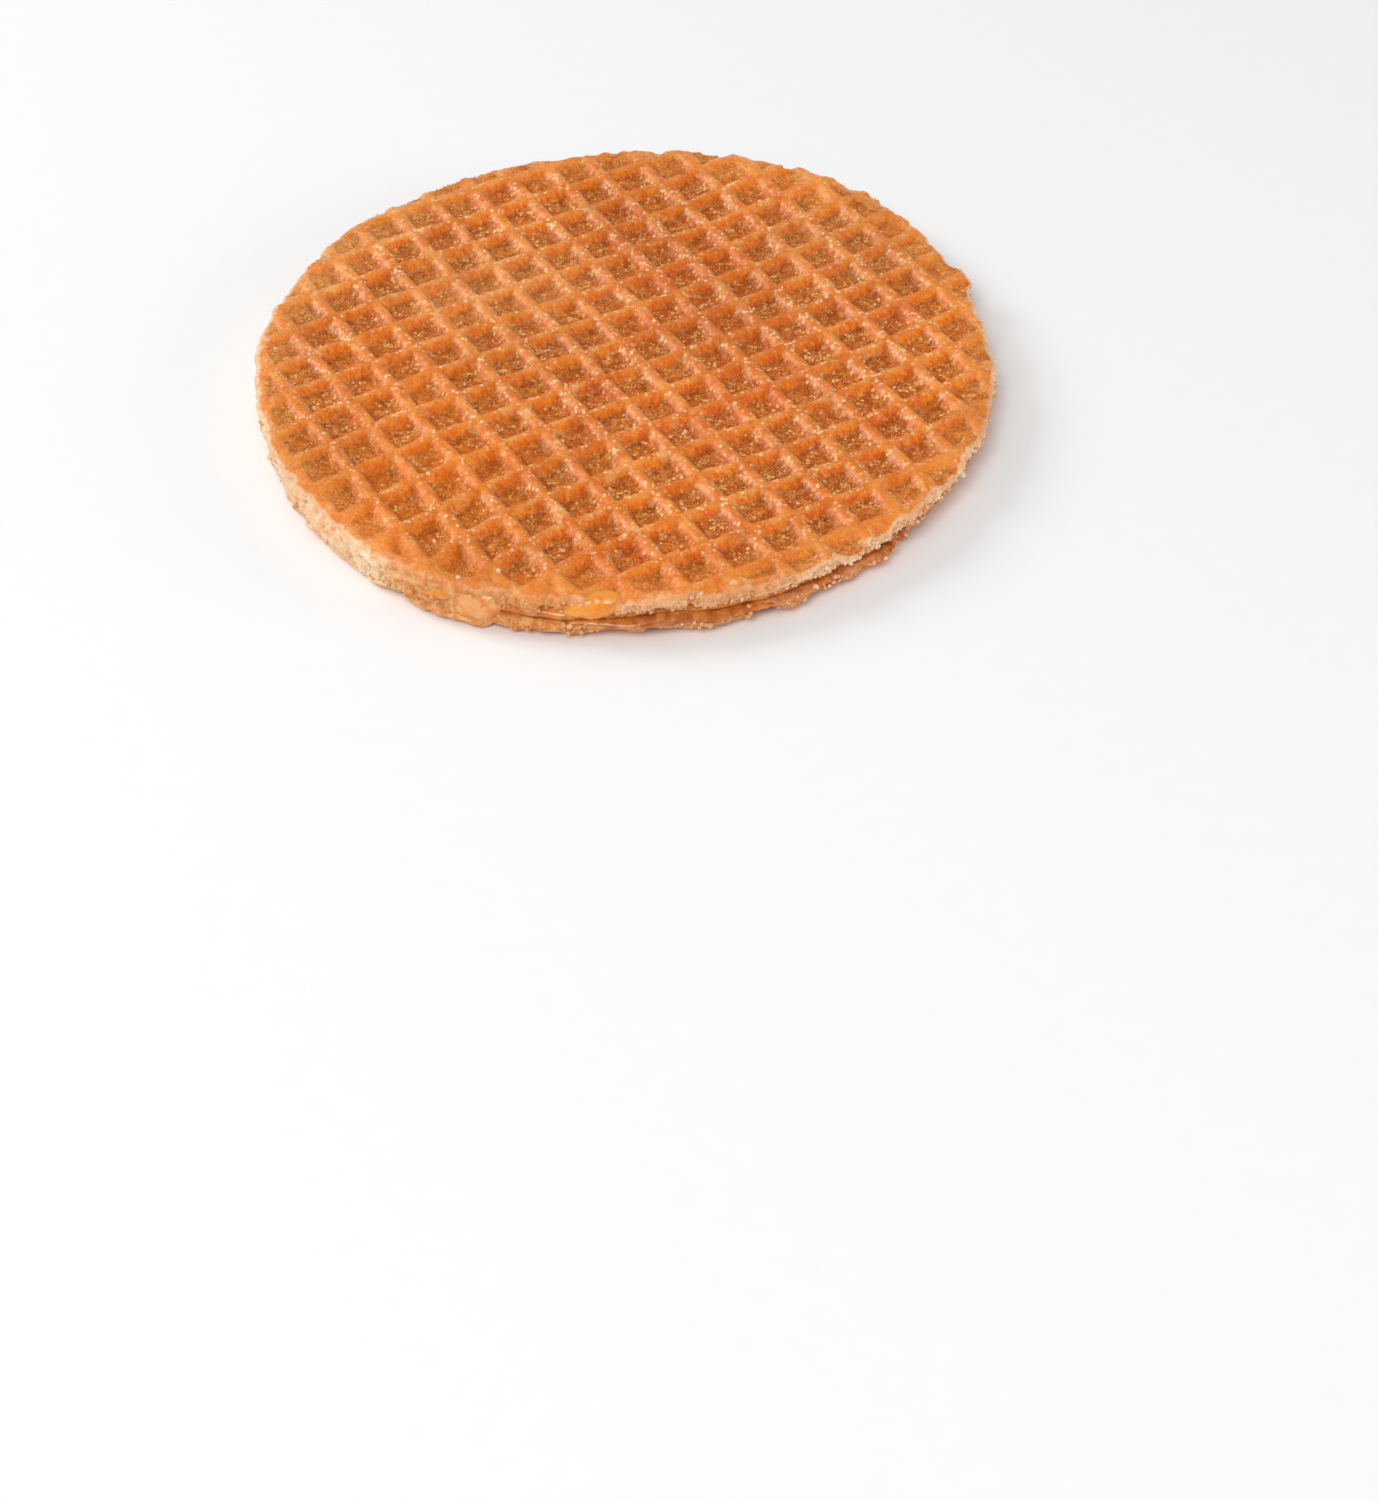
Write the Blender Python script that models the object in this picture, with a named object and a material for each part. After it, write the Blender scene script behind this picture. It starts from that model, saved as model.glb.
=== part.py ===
"""Stroopwafel: two thin waffle halves with a layer of syrup between them.

Lengths are metres and +Z is up. The biscuit lies flat: the ridges of its lower
face touch Z = 0 and its middle is at X = Y = 0. Both outer faces carry the square
ridge grid of the waffle iron, turned by GRID_TURN about Z. The halves are cut from
one baked waffle, so the two grids line up. Each ridge has a flat crest and
sloping sides, so the pockets between ridges are shallow square funnels.
"""
import math

import bmesh
import bpy
from mathutils import Matrix, Vector

# ------------------------------------------------------------------ sizes
MEAN_RADIUS = 0.0495           # mean radius of the upper half
LOWER_SMALLER_BY = 0.0004      # the lower half is this much smaller in radius
UPPER_THICKNESS = 0.0025       # upper half, crest of the ridges to cut face
LOWER_THICKNESS = 0.0023       # lower half, the same way
SYRUP_THICKNESS = 0.0008
GAP = 0.0003                   # kept between touching pieces
SYRUP_SETBACK = 0.0008         # the syrup stops this far inside the lower half

PITCH = 0.0061                 # ridge to ridge
CREST_WIDTH = 0.00085          # flat top of a ridge
SLOPE_RUN = 0.00085            # sideways run of a ridge's sloping side
POCKET_DEPTH = 0.0011
GRID_TURN = math.radians(30.0)
GRID_SHIFT_U = 0.645           # pocket middles along the grid, in pitches
GRID_SHIFT_V = 0.005
PLAIN_BORDER = 0.0014          # no pocket comes nearer than this to the outline
LEAST_POCKET = 0.15            # a cut-off pocket's middle may lie this far out, in pitches
OVERCUT = 0.0003               # the pocket cutters reach this far out of the face

RIM_ROUNDING = 0.0008          # radius of the outer rim
RIM_SEGMENTS = 2
OUTLINE_POINTS = 90            # corners of an outline

# The outline is a circle with gentle waves: (waves round the edge, height, crest angle).
UPPER_WAVES = (
    (2, 0.00117, math.radians(74.0)),
    (3, 0.00035, math.radians(53.0)),
    (4, 0.00050, math.radians(60.0)),
    (7, 0.00020, math.radians(36.0)),
    (11, 0.00015, math.radians(12.0)),
)
LOWER_WAVES = (
    (1, 0.00060, math.radians(160.0)),
    (2, 0.00145, math.radians(66.0)),
    (4, 0.00050, math.radians(64.0)),
    (9, 0.00018, math.radians(20.0)),
)
SYRUP_WAVES = (
    (2, 0.00120, math.radians(70.0)),
    (4, 0.00040, math.radians(62.0)),
    (6, 0.00030, math.radians(15.0)),
)
# Where the syrup has run out past its layer: (direction, reach, half width).
SYRUP_RUNS = (
    (math.radians(247.0), 0.00090, math.radians(7.0)),
    (math.radians(262.0), 0.00110, math.radians(6.0)),
    (math.radians(52.0), 0.00080, math.radians(8.0)),
)
# The chipped place in the upper half: it starts sharply and fades out slowly.
CHIP_START = math.radians(21.0)
CHIP_DEEPEST = math.radians(15.0)
CHIP_END = math.radians(-8.0)
CHIP_DEPTH = 0.0013

CRUST_COLOUR = (0.62, 0.25, 0.075, 1.0)
LOWER_CRUST_COLOUR = (0.56, 0.21, 0.06, 1.0)
SYRUP_COLOUR = (0.42, 0.13, 0.02, 1.0)

LOWER_CUT_FACE = LOWER_THICKNESS
SYRUP_BASE = LOWER_CUT_FACE + GAP
UPPER_CUT_FACE = SYRUP_BASE + SYRUP_THICKNESS + GAP
TOP_FACE = UPPER_CUT_FACE + UPPER_THICKNESS


# ------------------------------------------------------------------ helpers
def clear_scene():
    """Remove everything that is in the file."""
    for old in list(bpy.data.objects):
        bpy.data.objects.remove(old, do_unlink=True)


def new_collection(name):
    """Make a collection and link it to the scene."""
    collection = bpy.data.collections.new(name)
    bpy.context.scene.collection.children.link(collection)
    return collection


def make_material(name, colour, roughness):
    """A plain Principled material."""
    material = bpy.data.materials.new(name)
    material.use_nodes = True
    shader = material.node_tree.nodes["Principled BSDF"]
    shader.inputs["Base Color"].default_value = colour
    shader.inputs["Roughness"].default_value = roughness
    shader.inputs["Metallic"].default_value = 0.0
    material.diffuse_color = colour
    return material


def angle_between(one, other):
    """Signed turn from other to one, between minus and plus half a turn."""
    return math.remainder(one - other, math.tau)


def chip(direction):
    """How far the chipped place takes the upper half's edge in."""
    behind = angle_between(direction, CHIP_DEEPEST)
    if behind >= 0.0:
        span = CHIP_START - CHIP_DEEPEST
    else:
        span = CHIP_DEEPEST - CHIP_END
    return CHIP_DEPTH * max(0.0, 1.0 - abs(behind) / span)


def runs(direction):
    """How far the syrup has run out in this direction."""
    reach = 0.0
    for middle, height, half_width in SYRUP_RUNS:
        off = angle_between(direction, middle) / half_width
        reach += height * math.exp(-off * off)
    return reach


def upper_radius(direction):
    """Radius of the upper half's outline."""
    radius = MEAN_RADIUS - chip(direction)
    for count, height, crest in UPPER_WAVES:
        radius += height * math.cos(count * (direction - crest))
    return radius


def lower_radius(direction):
    """Radius of the lower half's outline."""
    radius = MEAN_RADIUS - LOWER_SMALLER_BY
    for count, height, crest in LOWER_WAVES:
        radius += height * math.cos(count * (direction - crest))
    return radius


def syrup_radius(direction):
    """Radius of the syrup's outline."""
    radius = MEAN_RADIUS - LOWER_SMALLER_BY - SYRUP_SETBACK + runs(direction)
    for count, height, crest in SYRUP_WAVES:
        radius += height * math.cos(count * (direction - crest))
    return radius


def outline(radius_at, inset=0.0):
    """Corners of an outline, anticlockwise, drawn in by inset."""
    corners = []
    for step in range(OUTLINE_POINTS):
        direction = math.tau * step / OUTLINE_POINTS
        radius = radius_at(direction) - inset
        corners.append(Vector((radius * math.cos(direction), radius * math.sin(direction))))
    return corners


def middle_of(outlines):
    """Middle of the box that holds all the outlines."""
    xs = [corner.x for corners in outlines for corner in corners]
    ys = [corner.y for corners in outlines for corner in corners]
    return Vector(((min(xs) + max(xs)) / 2.0, (min(ys) + max(ys)) / 2.0))


def slab(name, corners, base, thickness, collection):
    """A flat outline made into a closed slab of even thickness."""
    curve = bpy.data.curves.new(name + "_outline", "CURVE")
    curve.dimensions = "2D"
    curve.fill_mode = "BOTH"
    curve.extrude = thickness / 2.0
    spline = curve.splines.new("POLY")
    spline.points.add(len(corners) - 1)
    for point, corner in zip(spline.points, corners):
        point.co = (corner.x, corner.y, 0.0, 1.0)
    spline.use_cyclic_u = True
    drawn = bpy.data.objects.new(name + "_curve", curve)
    drawn.location = (0.0, 0.0, base + thickness / 2.0)
    collection.objects.link(drawn)
    bpy.context.view_layer.update()
    evaluated = drawn.evaluated_get(bpy.context.evaluated_depsgraph_get())
    mesh = bpy.data.meshes.new_from_object(evaluated)
    mesh.name = name
    mesh.transform(drawn.matrix_world)
    bpy.data.objects.remove(drawn, do_unlink=True)
    work = bmesh.new()
    work.from_mesh(mesh)
    bmesh.ops.remove_doubles(work, verts=work.verts, dist=0.00001)
    bmesh.ops.dissolve_limit(
        work,
        angle_limit=math.radians(0.5),
        verts=work.verts,
        edges=work.edges,
    )
    bmesh.ops.recalc_face_normals(work, faces=work.faces)
    work.to_mesh(mesh)
    work.free()
    body = bpy.data.objects.new(name, mesh)
    collection.objects.link(body)
    return body


def round_rim(body, height):
    """Round the rim of a slab at the given height."""
    work = bmesh.new()
    work.from_mesh(body.data)
    rim = []
    for edge in work.edges:
        if all(abs(vert.co.z - height) < 0.00001 for vert in edge.verts):
            rim.append(edge)
    bmesh.ops.bevel(
        work,
        geom=rim,
        offset=RIM_ROUNDING,
        offset_type="OFFSET",
        segments=RIM_SEGMENTS,
        profile=0.5,
        affect="EDGES",
    )
    work.to_mesh(body.data)
    work.free()


def pocket_middles(corners, shift):
    """Middles of the pockets that lie on the face, in the biscuit's own frame."""
    turn = Matrix.Rotation(GRID_TURN, 2)
    reach = max(corner.length for corner in corners)
    count = math.ceil(reach / PITCH) + 1
    allowed = LEAST_POCKET * PITCH
    middles = []
    for row in range(-count, count + 1):
        for column in range(-count, count + 1):
            along = Vector(((column + GRID_SHIFT_U) * PITCH, (row + GRID_SHIFT_V) * PITCH))
            place = turn @ along - shift
            direction = math.atan2(place.y, place.x) % math.tau
            nearest = round(direction / math.tau * OUTLINE_POINTS) % OUTLINE_POINTS
            if place.length < corners[nearest].length + allowed:
                middles.append(place)
    return middles


def pocket_cutter(name, corners, shift, face, outward, collection):
    """All the pockets of one face as four-sided funnels, cut off at the border."""
    half_floor = PITCH / 2.0 - CREST_WIDTH / 2.0 - SLOPE_RUN
    slope = SLOPE_RUN / POCKET_DEPTH
    half_mouth = half_floor + slope * (POCKET_DEPTH + OVERCUT)
    diagonal = math.sqrt(2.0)
    tall = POCKET_DEPTH + OVERCUT
    middle_height = face + outward * (OVERCUT - POCKET_DEPTH) / 2.0
    square_up = Matrix.Rotation(GRID_TURN + math.radians(45.0), 4, "Z")
    work = bmesh.new()
    for place in pocket_middles(corners, shift):
        lower, upper = half_floor * diagonal, half_mouth * diagonal
        if outward < 0.0:
            lower, upper = upper, lower
        bmesh.ops.create_cone(
            work,
            cap_ends=True,
            segments=4,
            radius1=lower,
            radius2=upper,
            depth=tall,
            matrix=Matrix.Translation((place.x, place.y, middle_height)) @ square_up,
        )
    mesh = bpy.data.meshes.new(name)
    work.to_mesh(mesh)
    work.free()
    cutter = bpy.data.objects.new(name, mesh)
    collection.objects.link(cutter)
    hide_cutter(cutter)
    return cutter


def hide_cutter(cutter):
    """Show a cutter as wire only and keep it out of renders."""
    cutter.display_type = "WIRE"
    cutter.hide_render = True


def add_boolean(body, other, operation):
    """Add an exact Boolean with another object."""
    boolean = body.modifiers.new(operation.lower(), "BOOLEAN")
    boolean.operation = operation
    boolean.solver = "EXACT"
    boolean.object = other


def waffle_half(name, radius_at, shift, cut_face, outer_face, material):
    """One half of the waffle: a slab with a rounded rim and the pressed grid."""
    corners = [corner - shift for corner in outline(radius_at)]
    inner = [corner - shift for corner in outline(radius_at, PLAIN_BORDER)]
    base = min(cut_face, outer_face)
    thickness = abs(outer_face - cut_face)
    outward = math.copysign(1.0, outer_face - cut_face)
    body = slab(name, corners, base, thickness, parts)
    round_rim(body, outer_face)
    pockets = pocket_cutter(name + "_pockets", inner, shift, outer_face, outward, cutters)
    border = slab(name + "_border", inner, base - thickness, 3.0 * thickness, cutters)
    hide_cutter(border)
    add_boolean(pockets, border, "INTERSECT")
    add_boolean(body, pockets, "DIFFERENCE")
    body.data.materials.append(material)
    return body


# ------------------------------------------------------------------ build
clear_scene()
parts = new_collection("stroopwafel")
cutters = new_collection("cutters")

crust = make_material("baked_crust", CRUST_COLOUR, 0.55)
lower_crust = make_material("lower_baked_crust", LOWER_CRUST_COLOUR, 0.55)
syrup = make_material("syrup", SYRUP_COLOUR, 0.2)

centre = middle_of([outline(upper_radius), outline(lower_radius), outline(syrup_radius)])

wafer_top = waffle_half("wafer_top", upper_radius, centre, UPPER_CUT_FACE, TOP_FACE, crust)
wafer_bottom = waffle_half(
    "wafer_bottom", lower_radius, centre, LOWER_CUT_FACE, 0.0, lower_crust
)

syrup_corners = [corner - centre for corner in outline(syrup_radius)]
caramel = slab("caramel", syrup_corners, SYRUP_BASE, SYRUP_THICKNESS, parts)
caramel.data.materials.append(syrup)

# The biscuit rests on a crossing of two ridges of its lower face, next to the middle.
crossing = Matrix.Rotation(GRID_TURN, 2) @ Vector(
    ((GRID_SHIFT_U - 0.5) * PITCH, (GRID_SHIFT_V - 0.5) * PITCH)
)
rest_point = crossing - centre
print("rest point", round(rest_point.x, 6), round(rest_point.y, 6), 0.0)
print("size over all", round(TOP_FACE, 6), "high")
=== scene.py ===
# %% [markdown]
# # A stroopwafel
# A stroopwafel is two thin waffle halves with soft caramel syrup between them.
# This lesson builds the look of one around a finished CAD model: the waffle iron's
# grid of ridges, the broken crumb at the rim, the syrup that has run out, and loose crumbs.
# The CAD model gives the sizes. Here every surface is worked out again, much finer.

# %% Load the CAD model and keep its box
import math

import bpy
import numpy as np
from mathutils import Matrix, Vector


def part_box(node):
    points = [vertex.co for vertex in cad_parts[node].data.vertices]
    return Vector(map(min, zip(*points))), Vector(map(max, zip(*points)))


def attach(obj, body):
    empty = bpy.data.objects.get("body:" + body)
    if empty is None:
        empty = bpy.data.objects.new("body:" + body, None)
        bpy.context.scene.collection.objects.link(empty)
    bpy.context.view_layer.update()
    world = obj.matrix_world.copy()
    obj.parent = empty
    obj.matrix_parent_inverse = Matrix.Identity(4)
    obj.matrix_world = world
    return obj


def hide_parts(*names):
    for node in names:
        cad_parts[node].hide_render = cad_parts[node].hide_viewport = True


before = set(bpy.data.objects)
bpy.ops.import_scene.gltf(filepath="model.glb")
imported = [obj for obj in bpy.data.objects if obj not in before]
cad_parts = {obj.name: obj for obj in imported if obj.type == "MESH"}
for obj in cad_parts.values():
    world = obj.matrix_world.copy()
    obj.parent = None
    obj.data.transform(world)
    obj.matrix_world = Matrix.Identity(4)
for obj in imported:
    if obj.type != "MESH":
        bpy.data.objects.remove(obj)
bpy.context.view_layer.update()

# %% [markdown]
# ## Sizes
# The ridge grid is what the eye reads first, so its spacing, depth and turn are named once.
# All lengths are metres. The three heights come from the CAD nodes, so the layers
# meet: each fills half of the thin gap that the CAD model keeps between touching pieces.

# %% Name the sizes
MM = 0.001
upper_low, upper_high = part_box("wafer_top")
lower_low, lower_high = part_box("wafer_bottom")
TOP_FACE = upper_high[2]
UPPER_CUT = upper_low[2]
LOWER_CUT = lower_high[2]
PITCH = 6.1 * MM
RIDGE_HALF_CREST = 0.24 * MM
RIDGE_SLOPE = 1.20 * MM
POCKET_DEPTH = 1.25 * MM
GRID_TURN = math.radians(30.0)
MEAN_RADIUS = 49.5 * MM
CENTRE = (0.584 * MM, -0.104 * MM)
print("layers in mm:", [round(z / MM, 2) for z in (LOWER_CUT, UPPER_CUT, TOP_FACE)])

# %% [markdown]
# ## The camera
# The biscuit is seen from in front and above, about 44 degrees down, with a slightly long
# lens. A camera that is placed by hand tends to drift, so its place is worked out from
# one point it looks from and the two angles it looks along.

# %% Place the camera
CAMERA_PLACE = (8.6 * MM, -299.2 * MM, 218.7 * MM)
LOOK_DOWN = math.radians(43.67)
ROLL = math.radians(-0.48)
LENS = 66.0


def place_camera():
    """Turn = roll about the view, then tilt up from straight down by 90 less the look-down angle."""
    data = bpy.data.cameras.new("camera")
    data.lens = LENS
    data.sensor_width = 36.0
    data.clip_start = 0.01
    camera = bpy.data.objects.new("camera", data)
    bpy.context.scene.collection.objects.link(camera)
    tilt = Matrix.Rotation(math.pi / 2.0 - LOOK_DOWN, 4, "X")
    roll = Matrix.Rotation(ROLL, 4, "Z")
    camera.matrix_world = Matrix.Translation(CAMERA_PLACE) @ tilt @ roll
    bpy.context.scene.camera = camera
    return camera


camera = place_camera()
print("camera looks down", round(math.degrees(LOOK_DOWN), 2), "degrees")

# %% [markdown]
# ## Noise
# Nothing baked is even. Most of the unevenness below comes from one tool: fixed random
# numbers on the corners of a lattice, blended smoothly in between. A hash gives
# the numbers, so they are the same on each run. A second tool gives bubbles: it measures
# how near each point lies to scattered bubble middles.

# %% Write the noise helpers
def corner_values(ix, iy, iz, seed):
    """A number from 0 to 1 for each lattice corner: a mix of its whole-number place and the seed."""
    with np.errstate(over="ignore"):
        mix = ix.astype(np.uint32) * np.uint32(73856093)
        mix ^= iy.astype(np.uint32) * np.uint32(19349663)
        mix ^= iz.astype(np.uint32) * np.uint32(83492791)
        mix ^= np.uint32(seed) * np.uint32(2654435761)
        mix ^= mix >> np.uint32(15)
        mix *= np.uint32(2246822519)
        mix ^= mix >> np.uint32(13)
        mix *= np.uint32(3266489917)
        mix ^= mix >> np.uint32(16)
    return mix.astype(np.float64) / 4294967295.0


def soft_noise(x, y, z, size, seed):
    """Smooth noise from -1 to 1: lattice numbers blended with the 3t^2 - 2t^3 curve on each axis."""
    px, py, pz = x / size, y / size, z / size
    ix, iy, iz = np.floor(px), np.floor(py), np.floor(pz)
    fx, fy, fz = px - ix, py - iy, pz - iz
    fx, fy, fz = (f * f * (3.0 - 2.0 * f) for f in (fx, fy, fz))
    ix, iy, iz = (i.astype(np.int64) for i in (ix, iy, iz))
    total = 0.0
    for dx in (0, 1):
        wx = fx if dx else 1.0 - fx
        for dy in (0, 1):
            wy = fy if dy else 1.0 - fy
            for dz in (0, 1):
                wz = fz if dz else 1.0 - fz
                total = total + wx * wy * wz * corner_values(ix + dx, iy + dy, iz + dz, seed)
    return 2.0 * total - 1.0


def layered_noise(x, y, z, size, layers, seed):
    """Sum of noises, each half as large and half as strong as the one before."""
    total, strength, reach = 0.0, 1.0, 0.0
    for layer in range(layers):
        total = total + strength * soft_noise(x, y, z, size / 2.0**layer, seed + 17 * layer)
        reach += strength
        strength *= 0.5
    return total / reach


def bubble_distance(x, y, z, size, seed):
    """Distance to the nearest bubble middle, in cells: one middle at a random place in each cell."""
    px, py, pz = x / size, y / size, z / size
    ix, iy, iz = (np.floor(p).astype(np.int64) for p in (px, py, pz))
    nearest = np.full(np.shape(px), 9.0)
    for dx in (-1, 0, 1):
        for dy in (-1, 0, 1):
            for dz in (-1, 0, 1):
                cx, cy, cz = ix + dx, iy + dy, iz + dz
                mx = cx + corner_values(cx, cy, cz, seed)
                my = cy + corner_values(cx, cy, cz, seed + 1)
                mz = cz + corner_values(cx, cy, cz, seed + 2)
                away = (mx - px) ** 2 + (my - py) ** 2 + (mz - pz) ** 2
                nearest = np.minimum(nearest, away)
    return np.sqrt(nearest)


def ease(value, low, high):
    """0 below low, 1 above high, and the 3t^2 - 2t^3 curve between them."""
    t = np.clip((value - low) / (high - low), 0.0, 1.0)
    return t * t * (3.0 - 2.0 * t)


def hill(angle, middle, half_width):
    """A bump round the edge: 1 at its middle angle, falling off like a bell. Angles in degrees."""
    off = (angle - middle + 180.0) % 360.0 - 180.0
    return np.exp(-((off / half_width) ** 2))


trial = soft_noise(np.linspace(0, 1, 1000), np.zeros(1000), np.zeros(1000), 0.1, 3)
print("noise runs from", round(float(trial.min()), 2), "to", round(float(trial.max()), 2))

# %% [markdown]
# ## The outline
# Baked and cut by hand, the biscuit is not quite round. Its edge is a circle with a few
# gentle waves, one chipped place, and a fine raggedness from broken crumb. The
# two halves have slightly different outlines, so here and there the lower one peeks out.

# %% Write the outlines
UPPER_WAVES = ((2, 1.17, 74.0), (3, 0.35, 53.0), (4, 0.50, 60.0), (7, 0.20, 36.0), (11, 0.15, 12.0))
LOWER_WAVES = ((1, 0.60, 160.0), (2, 1.45, 66.0), (4, 0.50, 64.0), (9, 0.18, 20.0))


def waved_radius(angle, mean, waves):
    """Mean radius plus one cosine for each wave: (count round the edge, height in mm, crest angle)."""
    radius = np.full(np.shape(angle), mean)
    for count, height, crest in waves:
        radius = radius + height * MM * np.cos(count * np.radians(angle - crest))
    return radius


CHIP_DEPTH = 0.7 * MM
UPPER_BULGES = (
    (212.0, 24.0, -0.1), (98.0, 70.0, 0.55), (116.0, 9.0, 0.6), (56.0, 8.0, 0.8), (20.5, 3.2, 1.3), (4.0, 18.0, 0.8)
)
LOWER_BULGES = ((212.0, 24.0, -0.9), (245.0, 10.0, 0.9), (275.0, 20.0, 0.5), (297.0, 23.0, 1.4), (282.0, 3.0, 0.8), (294.0, 4.0, 0.7), (309.0, 4.0, 0.8))


def chip(angle):
    """The chipped place: starts sharply at 19 degrees, is deepest at 14 and fades out by -8."""
    off = (angle - 14.0 + 180.0) % 360.0 - 180.0
    return CHIP_DEPTH * np.clip(np.where(off >= 0.0, 1.0 - off / 5.0, 1.0 + off / 22.0), 0.0, 1.0)


def bulges(angle, places):
    """The sum of hills on the outline: (middle angle, half width, height in mm)."""
    return sum(height * MM * hill(angle, middle, half_width) for middle, half_width, height in places)


def upper_radius(angle):
    """Outline of the upper half: its waves and bulges, less the chip."""
    return waved_radius(angle, MEAN_RADIUS, UPPER_WAVES) - chip(angle) + bulges(angle, UPPER_BULGES)


def lower_radius(angle):
    """Outline of the lower half: its waves, a flat place at the left and bulges at the front."""
    return waved_radius(angle, MEAN_RADIUS - 0.4 * MM, LOWER_WAVES) + bulges(angle, LOWER_BULGES)


angles = np.arange(0.0, 360.0, 1.0)
print("upper half is", round(2.0 * float(upper_radius(angles).mean()) / MM, 1), "mm across")

# %% [markdown]
# ## One waffle half
# A waffle half is made as one closed skin. Its face could be a flat disc with a bump map,
# but the ridges are over a millimetre high and show against the light, so they are real
# shape. The face is a square net whose lines are laid along the ridges, closer
# together on the ridges' slopes, so each crest stays crisp. Where the net meets the circle
# it is pulled onto it, then the circle is pulled onto the outline. From there the
# skin goes on down the broken side and closes across the cut face.

# %% Lay out the net
NET_STEPS = (0.0, 0.04, 0.08, 0.12, 0.16, 0.20, 0.24, 0.285, 0.385)
CREST_SHIFT_U = 0.132
CREST_SHIFT_V = 0.425


def net_lines(shift):
    """Places of the net's lines across the disc: the same steps on both sides of every crest."""
    steps = np.array(NET_STEPS)
    one_cell = np.concatenate([-steps[:0:-1], steps, [0.5]])
    reach = int(math.ceil(MEAN_RADIUS / PITCH)) + 1
    crests = np.arange(-reach, reach + 1) + shift
    return np.sort((crests[:, None] + one_cell[None, :]).ravel()) * PITCH


def disc_net():
    """Corners and faces of the net inside the reference circle, and its rim in order of angle.

    A face is kept if any of its corners lies inside. Corners that lie outside are pulled
    straight in onto the circle, so the net ends exactly on it.
    """
    u_lines, v_lines = net_lines(CREST_SHIFT_U), net_lines(CREST_SHIFT_V)
    u, v = np.meshgrid(u_lines, v_lines, indexing="ij")
    rows, columns = u.shape
    number = np.arange(u.size).reshape(u.shape)
    distance = np.hypot(u, v)
    inside = distance < MEAN_RADIUS - 0.05 * MM
    faces = np.stack(
        [number[:-1, :-1], number[1:, :-1], number[1:, 1:], number[:-1, 1:]], axis=-1
    ).reshape(-1, 4)
    faces = faces[inside.ravel()[faces].any(axis=1)]
    used = np.unique(faces)
    renumber = np.full(u.size, -1)
    renumber[used] = np.arange(used.size)
    u, v, inside = u.ravel()[used], v.ravel()[used], inside.ravel()[used]
    pull = np.where(inside, 1.0, MEAN_RADIUS / np.maximum(np.hypot(u, v), 1e-9))
    rim = np.flatnonzero(~inside)
    rim = rim[np.argsort(np.arctan2(v[rim], u[rim]))]
    return u * pull, v * pull, renumber[faces], rim


net_u, net_v, net_faces, net_rim = disc_net()
print("net:", net_u.size, "corners,", len(net_faces), "faces,", net_rim.size, "on the rim")

# %% [markdown]
# The iron's plates are cut with straight ridges, but dough pulls and settles as it is
# lifted out, so the grid strays from straight. It droops towards the front at the left,
# and is drawn back at the right and at the far side. The stray moves the net and the ridges
# together. Only near the rim is the net held still, and there the ridges alone move.

# %% Let the grid stray
def bell(place, middle, half_width):
    """1 at the middle, falling off as exp(-t^2)."""
    return np.exp(-(((place - middle) / half_width) ** 2))


def sway(u, v, seed):
    """Sideways moves of the ridges, in metres, from places in pitches p and q along u and v.

    A hump left of the middle, a pull at far +p that grows as t^1.2, a pull at far +q, and a
    droop at far -p that starts earlier and is stronger towards -q and grows as t^1.3.
    """
    p, q = u / PITCH, v / PITCH
    du = 0.45 * bell(p, -3.0, 3.0) * (1.0 - 0.7 * ease(q, 0.0, 5.0)) - 0.3 * bell(p, 2.5, 2.0)
    du = du + 0.6 * ease(p, 4.0, 7.5)
    dv = 0.5 * bell(p, -3.0, 2.5) - 0.3 * bell(p, 2.0, 2.0) + 1.45 * np.clip((p - 4.0) / 3.5, 0.0, 1.3) ** 1.2
    dv = dv + 0.5 * ease(q, 4.0, 7.0) * ease(p, -5.0, 1.0)
    front = ease(-q, -2.0, 5.0)
    droop = np.clip(-p - (5.6 - 1.6 * front), 0.0, 4.0) ** 1.3
    dv = dv - (0.4 + 0.35 * front) * droop
    angle = np.degrees(np.arctan2(v, u) + GRID_TURN)
    dv = dv - 1.3 * hill(angle, 248.0, 15.0) * ease(np.hypot(u, v), 43.0 * MM, 46.5 * MM)
    flat = np.zeros_like(u)
    du = du + 0.12 * soft_noise(u, v, flat, 5.0 * MM, seed + 42)
    dv = dv + 0.12 * soft_noise(u, v, flat, 5.0 * MM, seed + 43)
    return du * MM, dv * MM


sway_u, sway_v = sway(net_u, net_v, 1)
print("the grid sways by up to", round(float(np.hypot(sway_u, sway_v).max()) / MM, 2), "mm")

# %% [markdown]
# The face is a height above the floor of the pockets. Across one ridge the height is
# a flat crest with smooth slopes. Two sets of ridges cross, so a pocket is where
# neither stands: the lesser of what each leaves open. That lesser is rounded a little where
# two slopes meet, as dough does. Close to the rim the pockets get shallower, the
# face rounds over, and a raised border comes and goes.

# %% Shape the face
def crest_offset(place, shift):
    """Signed distance to the nearest crest: the place in pitches, folded to between -1/2 and 1/2."""
    return ((place / PITCH - shift + 0.5) % 1.0 - 0.5) * PITCH


def ridge(offset, half_crest):
    """1 on the crest, 0 on the floor; down the slope 1 - t^1.5: a round shoulder, a sharp foot."""
    down = np.clip((np.abs(offset) - half_crest) / RIDGE_SLOPE, 0.0, 1.0)
    return 1.0 - down**1.5


def lesser(first, second, soft):
    """The lesser of two values, rounded where they are nearly equal: mix - soft * h * (1 - h)."""
    h = np.clip(0.5 + 0.5 * (second - first) / soft, 0.0, 1.0)
    return second + (first - second) * h - soft * h * (1.0 - h)


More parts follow.
